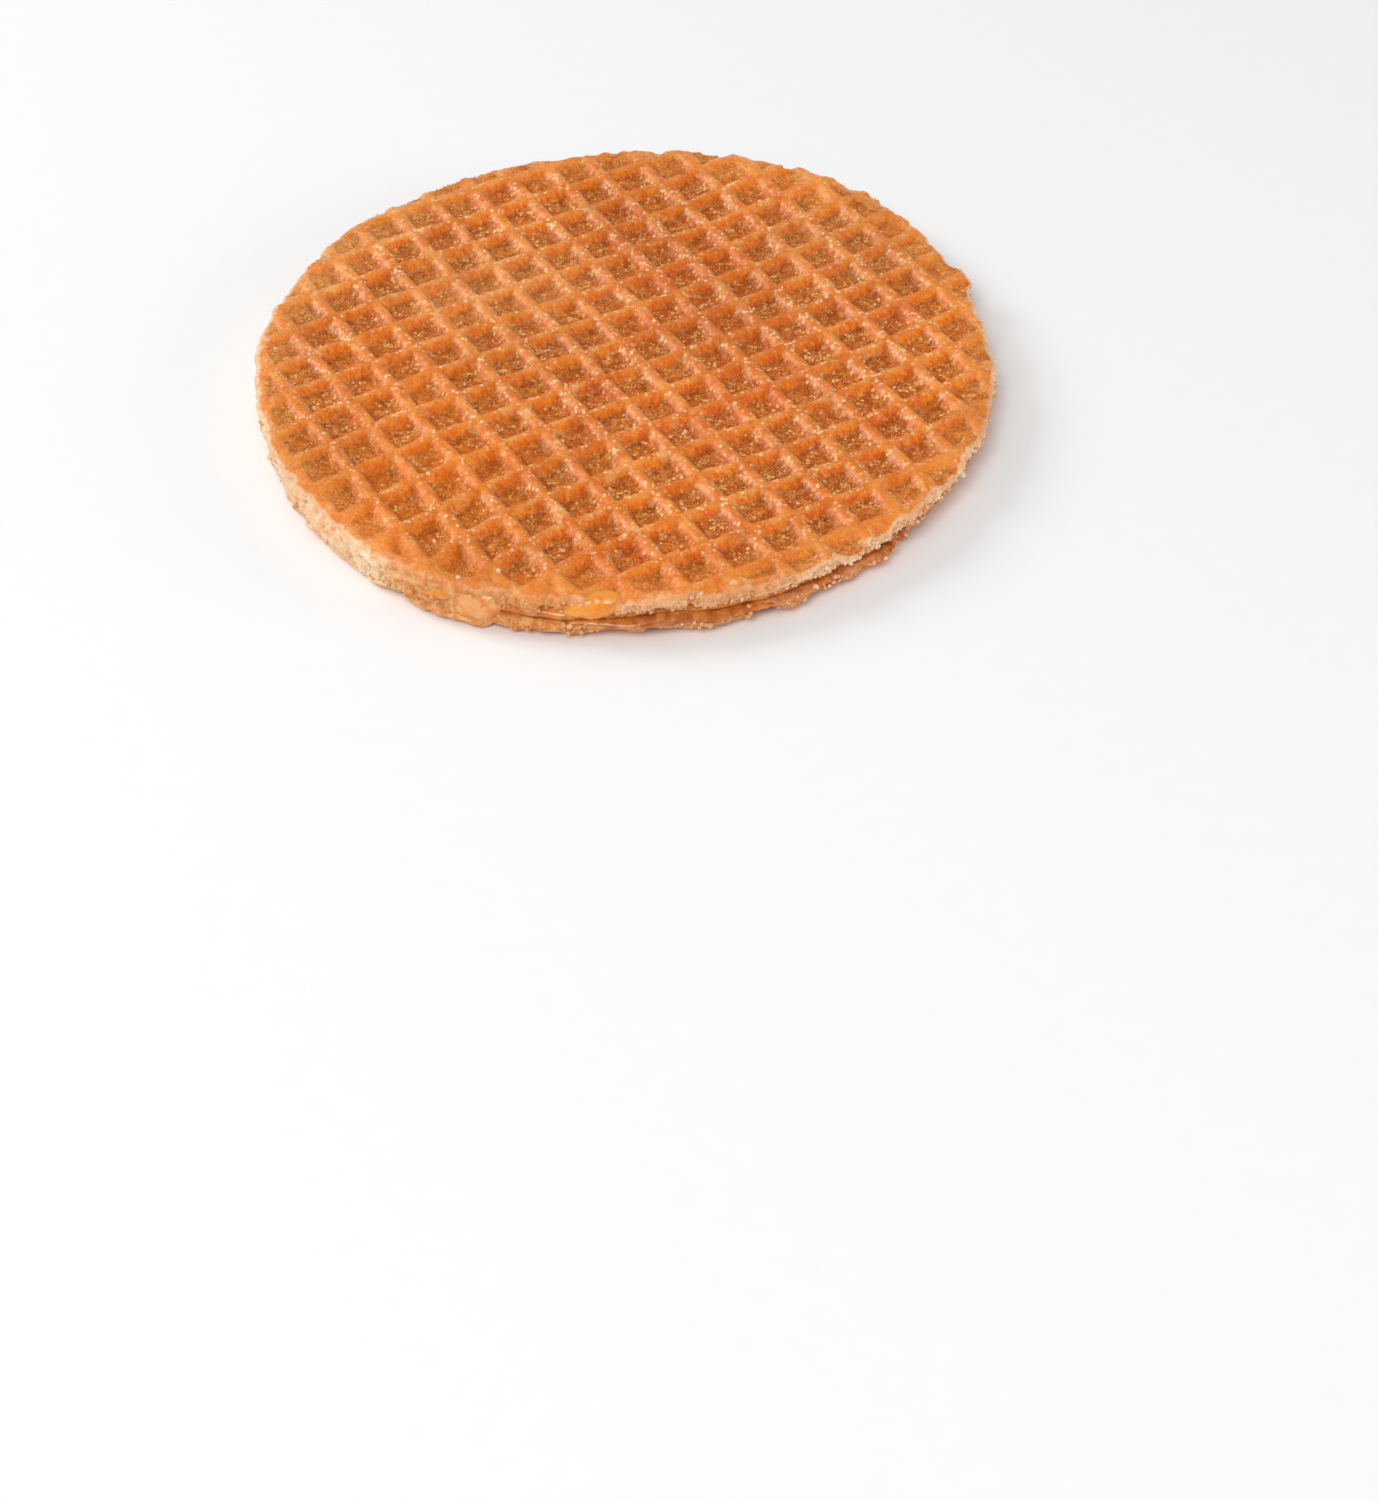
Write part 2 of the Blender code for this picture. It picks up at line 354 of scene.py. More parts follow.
def face_shape(u, v, from_rim, angle, seed):
    """Height below the crest plane, ridge cover, pocket depth and the shaded-wall mask at points of the face.

    height = - depth * lesser(open_u, open_v) * (1 - border) - rounding + dimples, where open is
    1 less the ridge, and rounding is a quarter ellipse that ends straight down at the rim.
    """
    flat = np.zeros_like(u)
    wobble_u = 0.13 * MM * soft_noise(u, v, flat, 2.3 * MM, seed + 50)
    wobble_v = 0.13 * MM * soft_noise(u, v, flat, 2.3 * MM, seed + 51)
    width = RIDGE_HALF_CREST * (1.0 + 0.5 * soft_noise(u, v, flat, 4.0 * MM, seed + 52))
    ridge_u = ridge(crest_offset(u, CREST_SHIFT_U) + wobble_u, width)
    offset_v = crest_offset(v, CREST_SHIFT_V) + wobble_v
    ridge_v = ridge(offset_v, width)
    # This mask marks the slopes on the -v side of the v ridges, which face the front, away from the main light. The
    # crust paints them a deep orange: painted shade.
    shaded_wall = ease(ridge_v - ridge_u, 0.05, 0.45) * ease(-offset_v, 0.1 * MM, 0.5 * MM)
    border_strength = 0.5 + 0.7 * soft_noise(u, v, flat, 7.0 * MM, seed + 53)
    border = np.clip(border_strength, 0.0, 1.0) * (1.0 - ease(from_rim, 0.6 * MM, 2.4 * MM))
    front = hill(angle, 248.0, 24.0)
    border = border + front * (1.0 - ease(from_rim, 1.0 * MM, 2.6 * MM) - border)
    opening = np.maximum(lesser(1.0 - ridge_u, 1.0 - ridge_v, 0.1), 0.0)
    # A band along the front rim joins the mask: painted shade where the face rounds down, away from the light.
    shaded_wall = np.maximum(shaded_wall, front * bell(from_rim, 2.6 * MM, 0.9 * MM))
    opening = opening * (1.0 - border)
    uneven = 0.16 * soft_noise(u, v, flat, 6.0 * MM, seed + 54) + 0.14 * soft_noise(u, v, flat, 15.0 * MM, seed + 58)
    worn = hill(angle, 178.0, 42.0) * (1.0 - ease(from_rim, 3.0 * MM, 12.0 * MM))
    depth = POCKET_DEPTH * (1.0 + uneven) * (1.0 - 0.45 * worn)
    full = np.maximum(ease(from_rim, 1.0 * MM, 6.5 * MM), np.maximum(front, 0.85 * hill(angle, 298.0, 50.0)))
    depth = depth * (0.5 + 0.5 * full) * (1.0 + 0.2 * front)
    round_width = (2.1 + 1.6 * hill(angle, 272.0, 50.0) + 1.4 * hill(angle, 205.0, 40.0)) * MM
    round_width = round_width * (1.0 - 0.35 * front) * (1.0 + 0.3 * soft_noise(u, v, flat, 4.0 * MM, seed + 59))
    inward = np.clip(1.0 - from_rim / round_width, 0.0, 1.0)
    rounding = 1.1 * MM * (1.0 - np.sqrt(1.0 - inward**2))
    dimples = 0.10 * MM * soft_noise(u, v, flat, 11.0 * MM, seed + 55)
    dimples = dimples + 0.11 * MM * soft_noise(u, v, flat, 1.8 * MM, seed + 56)
    grain = 0.10 * MM * layered_noise(u, v, flat, 0.8 * MM, 2, seed + 57)
    crumbly = 1.0 - ease(from_rim, 0.8 * MM, 3.0 * MM)
    grain = grain + crumbly * 0.2 * MM * layered_noise(u, v, flat, 1.3 * MM, 2, seed + 61)
    height = -depth * opening - rounding + dimples - 0.1 * MM + grain
    cover = 1.0 - (1.0 - ridge_u) * (1.0 - ridge_v)
    return height, cover, opening, shaded_wall


print("a pocket is", round((PITCH - 2 * RIDGE_HALF_CREST) / MM, 1), "mm wide at its mouth")

# %% [markdown]
# The side is where the waffle was cut and broken. It shows open crumb: a rough wall with
# bubbles of all sizes. Each row of the side is the rim carried down, pushed in or
# out by noise, and dented where a bubble was opened. The last row lies on the
# flat cut face, and a fan of triangles closes it.

# %% Build a whole half
SIDE_ROWS = 13


def turned(u, v):
    """Grid directions to the biscuit's own: turn by GRID_TURN and set the middle."""
    x = u * math.cos(GRID_TURN) - v * math.sin(GRID_TURN) + CENTRE[0]
    y = u * math.sin(GRID_TURN) + v * math.cos(GRID_TURN) + CENTRE[1]
    return x, y


def rag(angle, size, seed):
    """Noise along the edge: soft noise read on a circle of the mean radius."""
    x = MEAN_RADIUS * np.cos(np.radians(angle))
    y = MEAN_RADIUS * np.sin(np.radians(angle))
    return soft_noise(x, y, np.zeros_like(x), size, seed)


def face_points(u, v, radius_at, crest_height, up, seed):
    """Places on a face for points of the net: pulled to the outline, swayed and raised.

    Points near the rim move outwards with it; further in the whole net sways. up is 1 for
    a face that looks up and -1 for one that looks down.
    """
    distance = np.hypot(u, v)
    angle = np.degrees(np.arctan2(v, u) + GRID_TURN) % 360.0
    from_rim = MEAN_RADIUS - distance
    rough_edge = 0.24 * MM * rag(angle, 1.1 * MM, seed) + 0.30 * MM * rag(angle, 2.8 * MM, seed + 1)
    rough_edge = rough_edge - 0.6 * MM * ease(rag(angle, 2.2 * MM, seed + 2), 0.35, 0.8)
    pull = radius_at(angle) + rough_edge - MEAN_RADIUS
    stretch = 1.0 + pull * ease(distance, MEAN_RADIUS - 5.0 * MM, MEAN_RADIUS) / np.maximum(distance, MM)
    u, v = u * stretch, v * stretch
    held = ease(distance, MEAN_RADIUS - 7.0 * MM, MEAN_RADIUS - 2.0 * MM)
    sway_u, sway_v = sway(u, v, seed)
    pattern_u, pattern_v = u - sway_u * held, v - sway_v * held
    height, cover, opening, shaded_wall = face_shape(pattern_u, pattern_v, from_rim, angle, seed)
    x, y = turned(u + sway_u * (1.0 - held), v + sway_v * (1.0 - held))
    z = np.maximum(crest_height + up * height, 0.0)
    # The shaded-wall mask goes out with the face: it marks where the crust paints shade.
    return x, y, z, {"angle": angle, "from_rim": from_rim, "ridge": cover, "open": opening, "shaded_wall": shaded_wall,
                     "u": pattern_u, "v": pattern_v}


def soaked(angle):
    """How much syrup the crumb has drawn up: all round a little, most in a stretch at the front."""
    front = ease(angle, 232.0, 240.0) * (1.0 - ease(angle, 258.0, 266.0))
    beside = ease(angle, 255.0, 265.0) * (1.0 - ease(angle, 284.0, 300.0))
    patches = 0.25 * ease(rag(angle, 9.0 * MM, 90), 0.1, 0.7)
    return np.clip(front + 0.55 * beside + patches, 0.0, 1.0)


def at_left(angle):
    """1 at the left side of the biscuit, where the halves have baked together, falling to 0."""
    return ease(angle, 150.0, 172.0) * (1.0 - ease(angle, 246.0, 256.0))


def toasted_side(angle, up):
    """How toasted the side is: the lower half much, least at the left, the upper half a little."""
    left = at_left(angle)
    if up > 0.0:
        return (0.12 + 0.25 * ease(rag(angle, 8.0 * MM, 91), 0.1, 0.7)) * (1.0 - 0.8 * left)
    return np.clip(0.85 + 0.25 * rag(angle, 6.0 * MM, 92), 0.0, 1.0) * (1.0 - 0.95 * left)


def rim_patch(u, v, middle, half_width):
    """1 near the rim around an angle, falling to 0 towards the middle of the biscuit."""
    angle = np.degrees(np.arctan2(v, u) + GRID_TURN)
    return hill(angle, middle, half_width) * ease(np.hypot(u, v), 39.0 * MM, 46.0 * MM)


def browned(u, v):
    """Where the iron was hotter: a band right of the middle, two patches and the front rim."""
    p, q = u / PITCH, v / PITCH
    band = bell(p, 2.6, 2.0) * bell(q, 0.5, 5.5)
    patches = 0.5 * bell(p, 2.2, 1.3) * bell(q, 2.3, 1.5) + 0.6 * bell(p, -4.6, 1.9) * bell(q, 2.6, 1.4)
    return band + patches + 0.25 * (1.0 - ease(q, -7.5, -4.0)) + 0.8 * rim_patch(u, v, 252.0, 28.0)


def paled(u, v):
    """Where it was cooler: a patch towards the far side, one near the right rim, the left rim."""
    p, q = u / PITCH, v / PITCH
    patches = bell(p, -1.0, 2.2) * bell(q, 3.7, 1.7) + 0.7 * bell(p, 6.2, 1.4) * bell(q, 1.6, 2.2)
    return patches + 1.3 * rim_patch(u, v, 152.0, 26.0)


def goldened(u, v):
    """A broad bright golden place at the left."""
    return bell(u / PITCH, -5.6, 2.3) * bell(v / PITCH, -1.2, 3.2)


def half_skin(radius_at, crest_height, cut_height, seed):
    """The closed skin of one half: the face, SIDE_ROWS rows of side, two rings, a middle point."""
    up = 1.0 if crest_height > cut_height else -1.0
    x, y, z, face = face_points(net_u, net_v, radius_at, crest_height, up, seed)
    angle, from_rim, cover, opening = face["angle"], face["from_rim"], face["ridge"], face["open"]
    pattern_u, pattern_v = face["u"], face["v"]
    rim_x, rim_y, rim_z = x[net_rim], y[net_rim], z[net_rim]
    rim_angle = angle[net_rim]
    out_x, out_y = np.cos(np.radians(rim_angle)), np.sin(np.radians(rim_angle))
    down = np.linspace(0.0, 1.0, SIDE_ROWS + 1)[1:, None]
    joined = at_left(rim_angle)
    skirt = 2.4 * MM * joined * (1.0 + 0.25 * rag(rim_angle, 3.0 * MM, 108))
    side_z = rim_z + (cut_height - (skirt if up > 0.0 else 0.0) - rim_z) * down
    mid = np.sin(math.pi * np.clip(down * 1.1, 0.0, 1.0))
    freed = ease(down, 0.0, 0.2)
    common = (upper_radius(rim_angle) + lower_radius(rim_angle)) / 2.0 + 0.2 * MM * rag(rim_angle, 2.8 * MM, 95)
    drawn = (common - np.hypot(rim_x - CENTRE[0], rim_y - CENTRE[1])) * joined * ease(down, 0.0, 0.45)
    side_x, side_y = rim_x + out_x * drawn, rim_y + out_y * drawn
    rough = layered_noise(side_x, side_y, side_z, 1.7 * MM, 3, 105)
    bubble = bubble_distance(side_x, side_y, side_z * 1.3, 1.25 * MM, 106)
    small_bubble = bubble_distance(side_x, side_y, side_z, 0.6 * MM, 109)
    pore = 1.0 - ease(bubble, 0.18, 0.5)
    pore = np.maximum(pore, 0.55 * (1.0 - ease(small_bubble, 0.15, 0.5)))
    push = 0.16 * MM * mid * (1.0 - joined) + freed * (0.34 * MM * rough - 0.42 * MM * pore)
    push = push - 0.25 * MM * ease(down, 0.85, 1.0) * (1.0 - joined)
    if up < 0.0:
        hem = UPPER_CUT - 0.1 * MM - skirt
        push = push - 0.7 * MM * joined * ease(side_z, hem - 0.1 * MM, hem + 0.35 * MM)
    side_x = side_x + out_x * push
    side_y = side_y + out_y * push
    inward = np.array([0.35, 3.0])[:, None] * MM
    ring_x, ring_y = side_x[-1] - inward * out_x, side_y[-1] - inward * out_y
    count, around = net_u.size, net_rim.size
    corners = np.stack(
        [
            np.concatenate([x, side_x.ravel(), ring_x.ravel(), [CENTRE[0]]]),
            np.concatenate([y, side_y.ravel(), ring_y.ravel(), [CENTRE[1]]]),
            np.concatenate([z, side_z.ravel(), side_z[-1], np.full(around + 1, cut_height)]),
        ],
        axis=1,
    )
    loops = np.vstack([net_rim, count + np.arange((SIDE_ROWS + 2) * around).reshape(-1, around)])
    following = np.roll(loops, -1, axis=1)
    quads = np.stack([loops[1:], following[1:], following[:-1], loops[:-1]], axis=-1).reshape(-1, 4)
    middle = corners.shape[0] - 1
    fan = np.stack([np.full(around, middle), following[-1], loops[-1]], axis=-1)
    quads = np.vstack([net_faces, quads])
    if up < 0.0:
        quads, fan = quads[:, ::-1], fan[:, ::-1]
    tail = np.zeros(2 * around + 1)
    bare_width = 1.1 + 1.3 * hill(angle, 174.0, 22.0) - 0.4 * hill(angle, 215.0, 20.0) + 0.7 * hill(angle, 250.0, 20.0)
    bare_width = bare_width * MM + 2.5 * chip(angle)
    on_side = np.concatenate([np.zeros(count), np.ones(side_x.size), tail + 1.0])
    all_angles = np.concatenate([angle, np.tile(rim_angle, SIDE_ROWS + 2), [0.0]])
    fields = {
        "ridge": np.concatenate([cover, np.ones(side_x.size), tail]),
        "open": np.concatenate([opening, np.zeros(side_x.size), tail]),
        "side": on_side,
        "down": np.concatenate([np.zeros(count), (down + 0.0 * side_x).ravel(), tail + 1.0]),
        "pore": np.concatenate([np.zeros(count), pore.ravel(), tail]),
        "rim": np.concatenate([1.0 - ease(from_rim, 0.2 * MM, bare_width), np.ones(side_x.size), tail]),
        "border": np.concatenate([1.0 - ease(from_rim, 1.5 * MM, 7.5 * MM), np.zeros(side_x.size), tail]),
        "toast": toasted_side(all_angles, up),
        "soak": soaked(all_angles),
        # Mask of the walls that the crust paints as shade.
        "shaded_wall": np.concatenate([face["shaded_wall"], np.zeros(side_x.size), tail]),
        "brown": np.concatenate([browned(net_u, net_v), np.zeros(side_x.size), tail]),
        "pale": np.concatenate([paled(net_u, net_v), np.zeros(side_x.size), tail]),
        "golden": np.concatenate([goldened(net_u, net_v), np.zeros(side_x.size), tail]),
    }
    grid = np.zeros_like(corners)
    grid[:count, 0], grid[:count, 1] = pattern_u, pattern_v
    grid[count:, 0], grid[count:, 1] = corners[count:, 0], corners[count:, 2]
    return corners, quads, fan, fields, grid


def add_skin(name, corners, quads, fan, fields, grid):
    """Put arrays into a mesh object: corners, four-sided faces, three-sided faces and attributes."""
    mesh = bpy.data.meshes.new(name)
    mesh.vertices.add(len(corners))
    mesh.vertices.foreach_set("co", corners.astype(np.float32).ravel())
    loops = np.concatenate([quads.ravel(), fan.ravel()])
    starts = np.concatenate([np.arange(len(quads)) * 4, quads.size + np.arange(len(fan)) * 3])
    mesh.loops.add(loops.size)
    mesh.loops.foreach_set("vertex_index", loops.astype(np.int32))
    mesh.polygons.add(starts.size)
    mesh.polygons.foreach_set("loop_start", starts.astype(np.int32))
    mesh.update(calc_edges=True)
    mesh.validate()
    mesh.shade_smooth()
    for key, values in fields.items():
        mesh.attributes.new(key, "FLOAT", "POINT").data.foreach_set("value", values.astype(np.float32))
    if grid is not None:
        layer = mesh.attributes.new("grid", "FLOAT_VECTOR", "POINT")
        layer.data.foreach_set("vector", grid.astype(np.float32).ravel())
    piece = bpy.data.objects.new(name, mesh)
    bpy.context.scene.collection.objects.link(piece)
    print(name, "has", 2 * len(quads) + len(fan), "triangles")
    return piece


upper_half = add_skin("upper_half", *half_skin(upper_radius, TOP_FACE, UPPER_CUT - 0.1 * MM, 100))
lower_half = add_skin("lower_half", *half_skin(lower_radius, 0.0, LOWER_CUT + 0.1 * MM, 300))

# %% [markdown]
# ## The syrup
# Warm syrup is spread between the halves and creeps outwards when they are pressed
# together. It shows as a dark shiny line, set back a little, that bulges where more
# came out. A turned profile would be too even, so its rim follows its own uneven outline.

# %% Make the syrup layer
SYRUP_AROUND = 960
SYRUP_ACROSS = 15
SYRUP_RUNS = ((247.0, 7.0, 0.5), (262.0, 6.0, 0.5), (52.0, 8.0, 0.8), (286.0, 12.0, 0.4))


def syrup_radius(angle):
    """Outline of the syrup: set back from the lesser half, least at the front, plus runs."""
    set_back = (1.0 - 0.55 * hill(angle, 265.0, 45.0) + 0.6 * at_left(angle)) * MM
    radius = np.minimum(upper_radius(angle), lower_radius(angle)) - set_back
    for middle, half_width, reach in SYRUP_RUNS:
        radius = radius + reach * MM * hill(angle, middle, half_width)
    return radius + 0.3 * MM * rag(angle, 4.0 * MM, 70) + 0.15 * MM * rag(angle, 1.3 * MM, 71)


def syrup_skin():
    """A flat disc whose edge is a half ellipse: radius - depth * (1 - sin), height from cut to cut."""
    turn = np.arange(SYRUP_AROUND) * 360.0 / SYRUP_AROUND
    outline = syrup_radius(turn)
    low, high = LOWER_CUT - 0.02 * MM, UPPER_CUT + 0.02 * MM
    sweep = np.linspace(0.0, math.pi, SYRUP_ACROSS)[:, None]
    edge = outline - 1.0 * MM * (1.0 - np.sin(sweep))
    z = (low + high) / 2.0 + (high - low) / 2.0 * np.cos(sweep) + 0.0 * edge
    x = edge * np.cos(np.radians(turn)) + CENTRE[0]
    y = edge * np.sin(np.radians(turn)) + CENTRE[1]
    corners = np.stack([x.ravel(), y.ravel(), z.ravel()], axis=1)
    middles = np.array([[CENTRE[0], CENTRE[1], high], [CENTRE[0], CENTRE[1], low]])
    corners = np.vstack([corners, middles])
    loops = np.arange(x.size).reshape(x.shape)
    following = np.roll(loops, -1, axis=1)
    quads = np.stack([loops[1:], following[1:], following[:-1], loops[:-1]], axis=-1).reshape(-1, 4)
    top_middle, low_middle = x.size, x.size + 1
    upper_fan = np.stack([np.full(SYRUP_AROUND, top_middle), loops[0], following[0]], axis=-1)
    lower_fan = np.stack([np.full(SYRUP_AROUND, low_middle), following[-1], loops[-1]], axis=-1)
    return corners, quads, np.vstack([upper_fan, lower_fan]), {}


syrup_layer = add_skin("syrup_layer", *syrup_skin(), None)

# %% [markdown]
# A drop and a lump of syrup have run out over the side at the front, and at the far
# edge a film of it lies on the crust. All three are dabs: a ball whose flat directions are
# laid along the rim and across it, over the edge, and whose thickness stands off the surface.

# %% Lay dabs of syrup over the edge
def edge_place(angle, across, lift):
    """A place at the rim: inwards on the face for negative across, straight down for positive.

    lift stands off the surface, upwards on the face, outwards on the side, turning between.
    """
    inward = np.clip(-across, 0.0, None)
    turn = np.radians(angle) - GRID_TURN
    u, v = (MEAN_RADIUS - inward) * np.cos(turn), (MEAN_RADIUS - inward) * np.sin(turn)
    x, y, z, face = face_points(u, v, upper_radius, TOP_FACE, 1.0, 100)
    lean = math.pi / 2.0 * ease(across, -2.2 * MM, 1.0 * MM)
    out = lift * np.sin(lean)
    x = x + out * np.cos(np.radians(angle))
    y = y + out * np.sin(np.radians(angle))
    return x, y, z - np.clip(across, 0.0, None) + lift * np.cos(lean)


SMOOTHED = 1.2 * MM


def dab_skin(angle, across, sizes, point, slant, rough, seed):
    """A ball with half-sizes (long, wide, thick), narrowed towards smaller angles by point.

    The ball is given by rise and turn; slant lowers the narrow end as it goes along. It lies
    on the mean of nine places of the edge, so it is smoother than the crumb beneath it.
    """
    rows, around = 51, 48
    rise = np.linspace(0.0, math.pi, rows + 2)[1:-1, None]
    turn = np.linspace(0.0, 2.0 * math.pi, around, endpoint=False)[None, :]
    along = np.cos(rise) + 0.0 * turn
    narrow = 1.0 - point * ease(-along, -0.3, 1.0)
    wide = np.sin(rise) * np.cos(turn) * narrow
    thick = np.sin(rise) * np.sin(turn) * (0.4 + 0.6 * narrow)
    along, wide, thick = (np.concatenate([p.ravel(), q]) for p, q in
                          ((along, (1.0, -1.0)), (wide, (0.0, 0.0)), (thick, (0.0, 0.0))))
    along, wide, thick = along * sizes[0], wide * sizes[1], thick * sizes[2]
    swell = 1.0 + rough * layered_noise(along, wide, thick, 2.2 * MM, 2, seed)
    wide, thick = wide * swell, thick * swell
    here = angle + np.degrees(along / MEAN_RADIUS)
    near = [edge_place(here + math.degrees(turn * SMOOTHED / MEAN_RADIUS), across + wide - slant * along
                       + step * SMOOTHED, thick) for turn in (-1.0, 0.0, 1.0) for step in (-1.0, 0.0, 1.0)]
    x, y, z = np.mean(near, axis=0)
    z = np.maximum(z, 0.1 * MM)
    loops = np.arange(rows * around).reshape(rows, around)
    following = np.roll(loops, -1, axis=1)
    quads = np.stack([loops[1:], following[1:], following[:-1], loops[:-1]], axis=-1).reshape(-1, 4)
    first, last = rows * around, rows * around + 1
    fan = np.vstack(
        [
            np.stack([np.full(around, first), loops[0], following[0]], axis=-1),
            np.stack([np.full(around, last), following[-1], loops[-1]], axis=-1),
        ]
    )
    return np.stack([x, y, z], axis=1), quads[:, ::-1], fan[:, ::-1]


DABS = {
    "syrup_drop": (265.6, 0.5 * MM, (4.2 * MM, 1.8 * MM, 1.1 * MM), 0.7, 0.25, 0.0, 11),
    "syrup_lump": (250.0, 1.9 * MM, (3.0 * MM, 3.0 * MM, 0.65 * MM), 0.1, 0.1, 0.4, 12),
    "syrup_fold": (244.0, 1.6 * MM, (2.4 * MM, 0.7 * MM, 0.5 * MM), 0.4, 0.15, 0.3, 14),
    "syrup_run": (275.0, 2.6 * MM, (15.0 * MM, 0.7 * MM, 1.2 * MM), 0.2, 0.0, 0.3, 15),
    "syrup_smear": (47.0, -0.7 * MM, (6.2 * MM, 1.5 * MM, 0.28 * MM), 0.3, 0.0, 0.2, 13),
}
dabs = {name: add_skin(name, *dab_skin(*shape), {}, None) for name, shape in DABS.items()}

# %% [markdown]
# ## Crumbs
# Cutting leaves crumbs on the side, and a few lie on the face. Each crumb is the same
# twelve-cornered ball, stretched, turned and dented at random. All crumbs are made
# at once as one array of shape (crumb, corner, axis) and joined into one mesh.

# %% Write the crumb maker
GOLDEN = (1.0 + math.sqrt(5.0)) / 2.0


def ball_corners():
    """The twelve corners of an icosahedron: the cyclic turns of (0, +-1, +-golden ratio)."""
    signs = np.array([(a, b) for a in (-1.0, 1.0) for b in (-1.0, 1.0)])
    plane = np.stack([np.zeros(4), signs[:, 0], signs[:, 1] * GOLDEN], axis=1)
    corners = np.vstack([plane, np.roll(plane, 1, axis=1), np.roll(plane, 2, axis=1)])
    return corners / np.linalg.norm(corners[0])


def ball_faces(corners):
    """Every three corners that lie one edge apart, turned to face outwards."""
    edge = 1.1
    near = np.linalg.norm(corners[:, None] - corners[None, :], axis=2) < edge
    i, j, k = np.meshgrid(np.arange(12), np.arange(12), np.arange(12), indexing="ij")
    keep = (i < j) & (j < k) & near[i, j] & near[j, k] & near[i, k]
    faces = np.stack([i[keep], j[keep], k[keep]], axis=1)
    a, b, c = (corners[faces[:, n]] for n in range(3))
    inward = np.einsum("ij,ij->i", np.cross(b - a, c - a), a + b + c) < 0.0
    faces[inward] = faces[inward][:, ::-1]
    return faces


def random_turns(random, count):
    """Turning matrices: three directions at random, made square to each other."""
    return np.linalg.qr(random.normal(size=(count, 3, 3)))[0]


MOST_DENT = 1.28


def crumb_skin(random, shape, places, sizes, flatness):
    """Corners and faces of all crumbs: turn(stretch * dent * shape) + place."""
    ball, faces = shape
    count = len(places)
    dent = random.uniform(2.0 - MOST_DENT, MOST_DENT, size=(count, len(ball), 1))
    stretch = random.uniform(flatness, 1.0, size=(count, 1, 3)) * sizes[:, None, None] / 2.0
    turns = random_turns(random, count)
    turns *= np.sign(np.linalg.det(turns))[:, None, None]
    shapes = np.einsum("nij,nkj->nki", turns, ball[None] * dent * stretch) + places[:, None, :]
    joined = (faces[None] + len(ball) * np.arange(count)[:, None, None]).reshape(-1, 3)
    return shapes.reshape(-1, 3), np.zeros((0, 4), dtype=int), joined


CRUMB = (ball_corners(), ball_faces(ball_corners()))
GRAIN = (
    np.array([(1, 0, 0), (0, 1, 0), (-1, 0, 0), (0, -1, 0), (0, 0, 1), (0, 0, -1)], dtype=float),
    np.array([(0, 1, 4), (1, 2, 4), (2, 3, 4), (3, 0, 4), (1, 0, 5), (2, 1, 5), (3, 2, 5), (0, 3, 5)]),
)
print("one crumb has", len(CRUMB[1]), "faces and one grain", len(GRAIN[1]))

# %% [markdown]
# Crumbs cling where the crumb is broken: on the side of both halves, most at the front
# and at the left. A few larger ones and many fine grains lie on the face, in the
# pockets. Their height is read off the finished skin, by picking corners of its mesh.

# %% Scatter the crumbs
random = np.random.default_rng(7)


def mesh_places(piece, field, low, high):
    """Corners of a finished piece where an attribute lies between low and high."""
    mesh = piece.data
    places = np.empty(len(mesh.vertices) * 3, dtype=np.float32)
    mesh.vertices.foreach_get("co", places)
    values = np.empty(len(mesh.vertices), dtype=np.float32)
    mesh.attributes[field].data.foreach_get("value", values)
    return places.reshape(-1, 3)[(values > low) & (values < high)]


def side_crumbs(piece, count, low, high):
    """Crumbs stuck in the side of a half, more of them at the front and left than elsewhere."""
    places = mesh_places(piece, "down", low, high)
    angle = np.degrees(np.arctan2(places[:, 1], places[:, 0]))
    weight = 0.3 + hill(angle, 285.0, 40.0) + 0.1 * hill(angle, 205.0, 40.0)
    picked = places[random.choice(len(places), count, p=weight / weight.sum())]
    return picked + random.normal(0.0, 0.12 * MM, size=picked.shape)


edge_places = np.vstack(
    [
        side_crumbs(upper_half, 600, 0.05, 0.95),
        side_crumbs(upper_half, 300, 0.55, 0.95),
        side_crumbs(lower_half, 500, 0.05, 0.95),
    ]
)
edge_sizes = (0.28 + 0.75 * random.random(len(edge_places)) ** 2.5) * MM
edge_places[:, 2] = np.maximum(edge_places[:, 2], MOST_DENT / 2.0 * edge_sizes)
edge_angles = np.degrees(np.arctan2(edge_places[:, 1], edge_places[:, 0])) % 360.0
edge_fields = {"soak": np.repeat(soaked(edge_angles), len(CRUMB[0]))}
edge_crumbs = add_skin("edge_crumbs", *crumb_skin(random, CRUMB, edge_places, edge_sizes, 0.55), edge_fields, None)


def scattered(count):
    """Places spread evenly over the disc: radius goes with the square root of a random number."""
    radius = (MEAN_RADIUS - 0.5 * MM) * np.sqrt(random.random(count))
    turn = 2.0 * math.pi * random.random(count)
    u, v = radius * np.cos(turn), radius * np.sin(turn)
    x, y, z, face = face_points(u, v, upper_radius, TOP_FACE, 1.0, 100)
    return np.stack([x, y, z], axis=1), face


def keep_some(places, face, chance, count):
    """The first places that pass, each with its own chance."""
    passed = np.flatnonzero(random.random(len(places)) < chance(face))[:count]
    return places[passed]


grain_places = keep_some(*scattered(90000), lambda face: ease(face["open"], 0.35, 0.9), 22000)
grain_sizes = (0.17 + 0.20 * random.random(len(grain_places)) ** 2) * MM
grain_places[:, 2] += 0.1 * grain_sizes
face_grains = add_skin("face_grains", *crumb_skin(random, GRAIN, grain_places, grain_sizes, 0.55), {}, None)

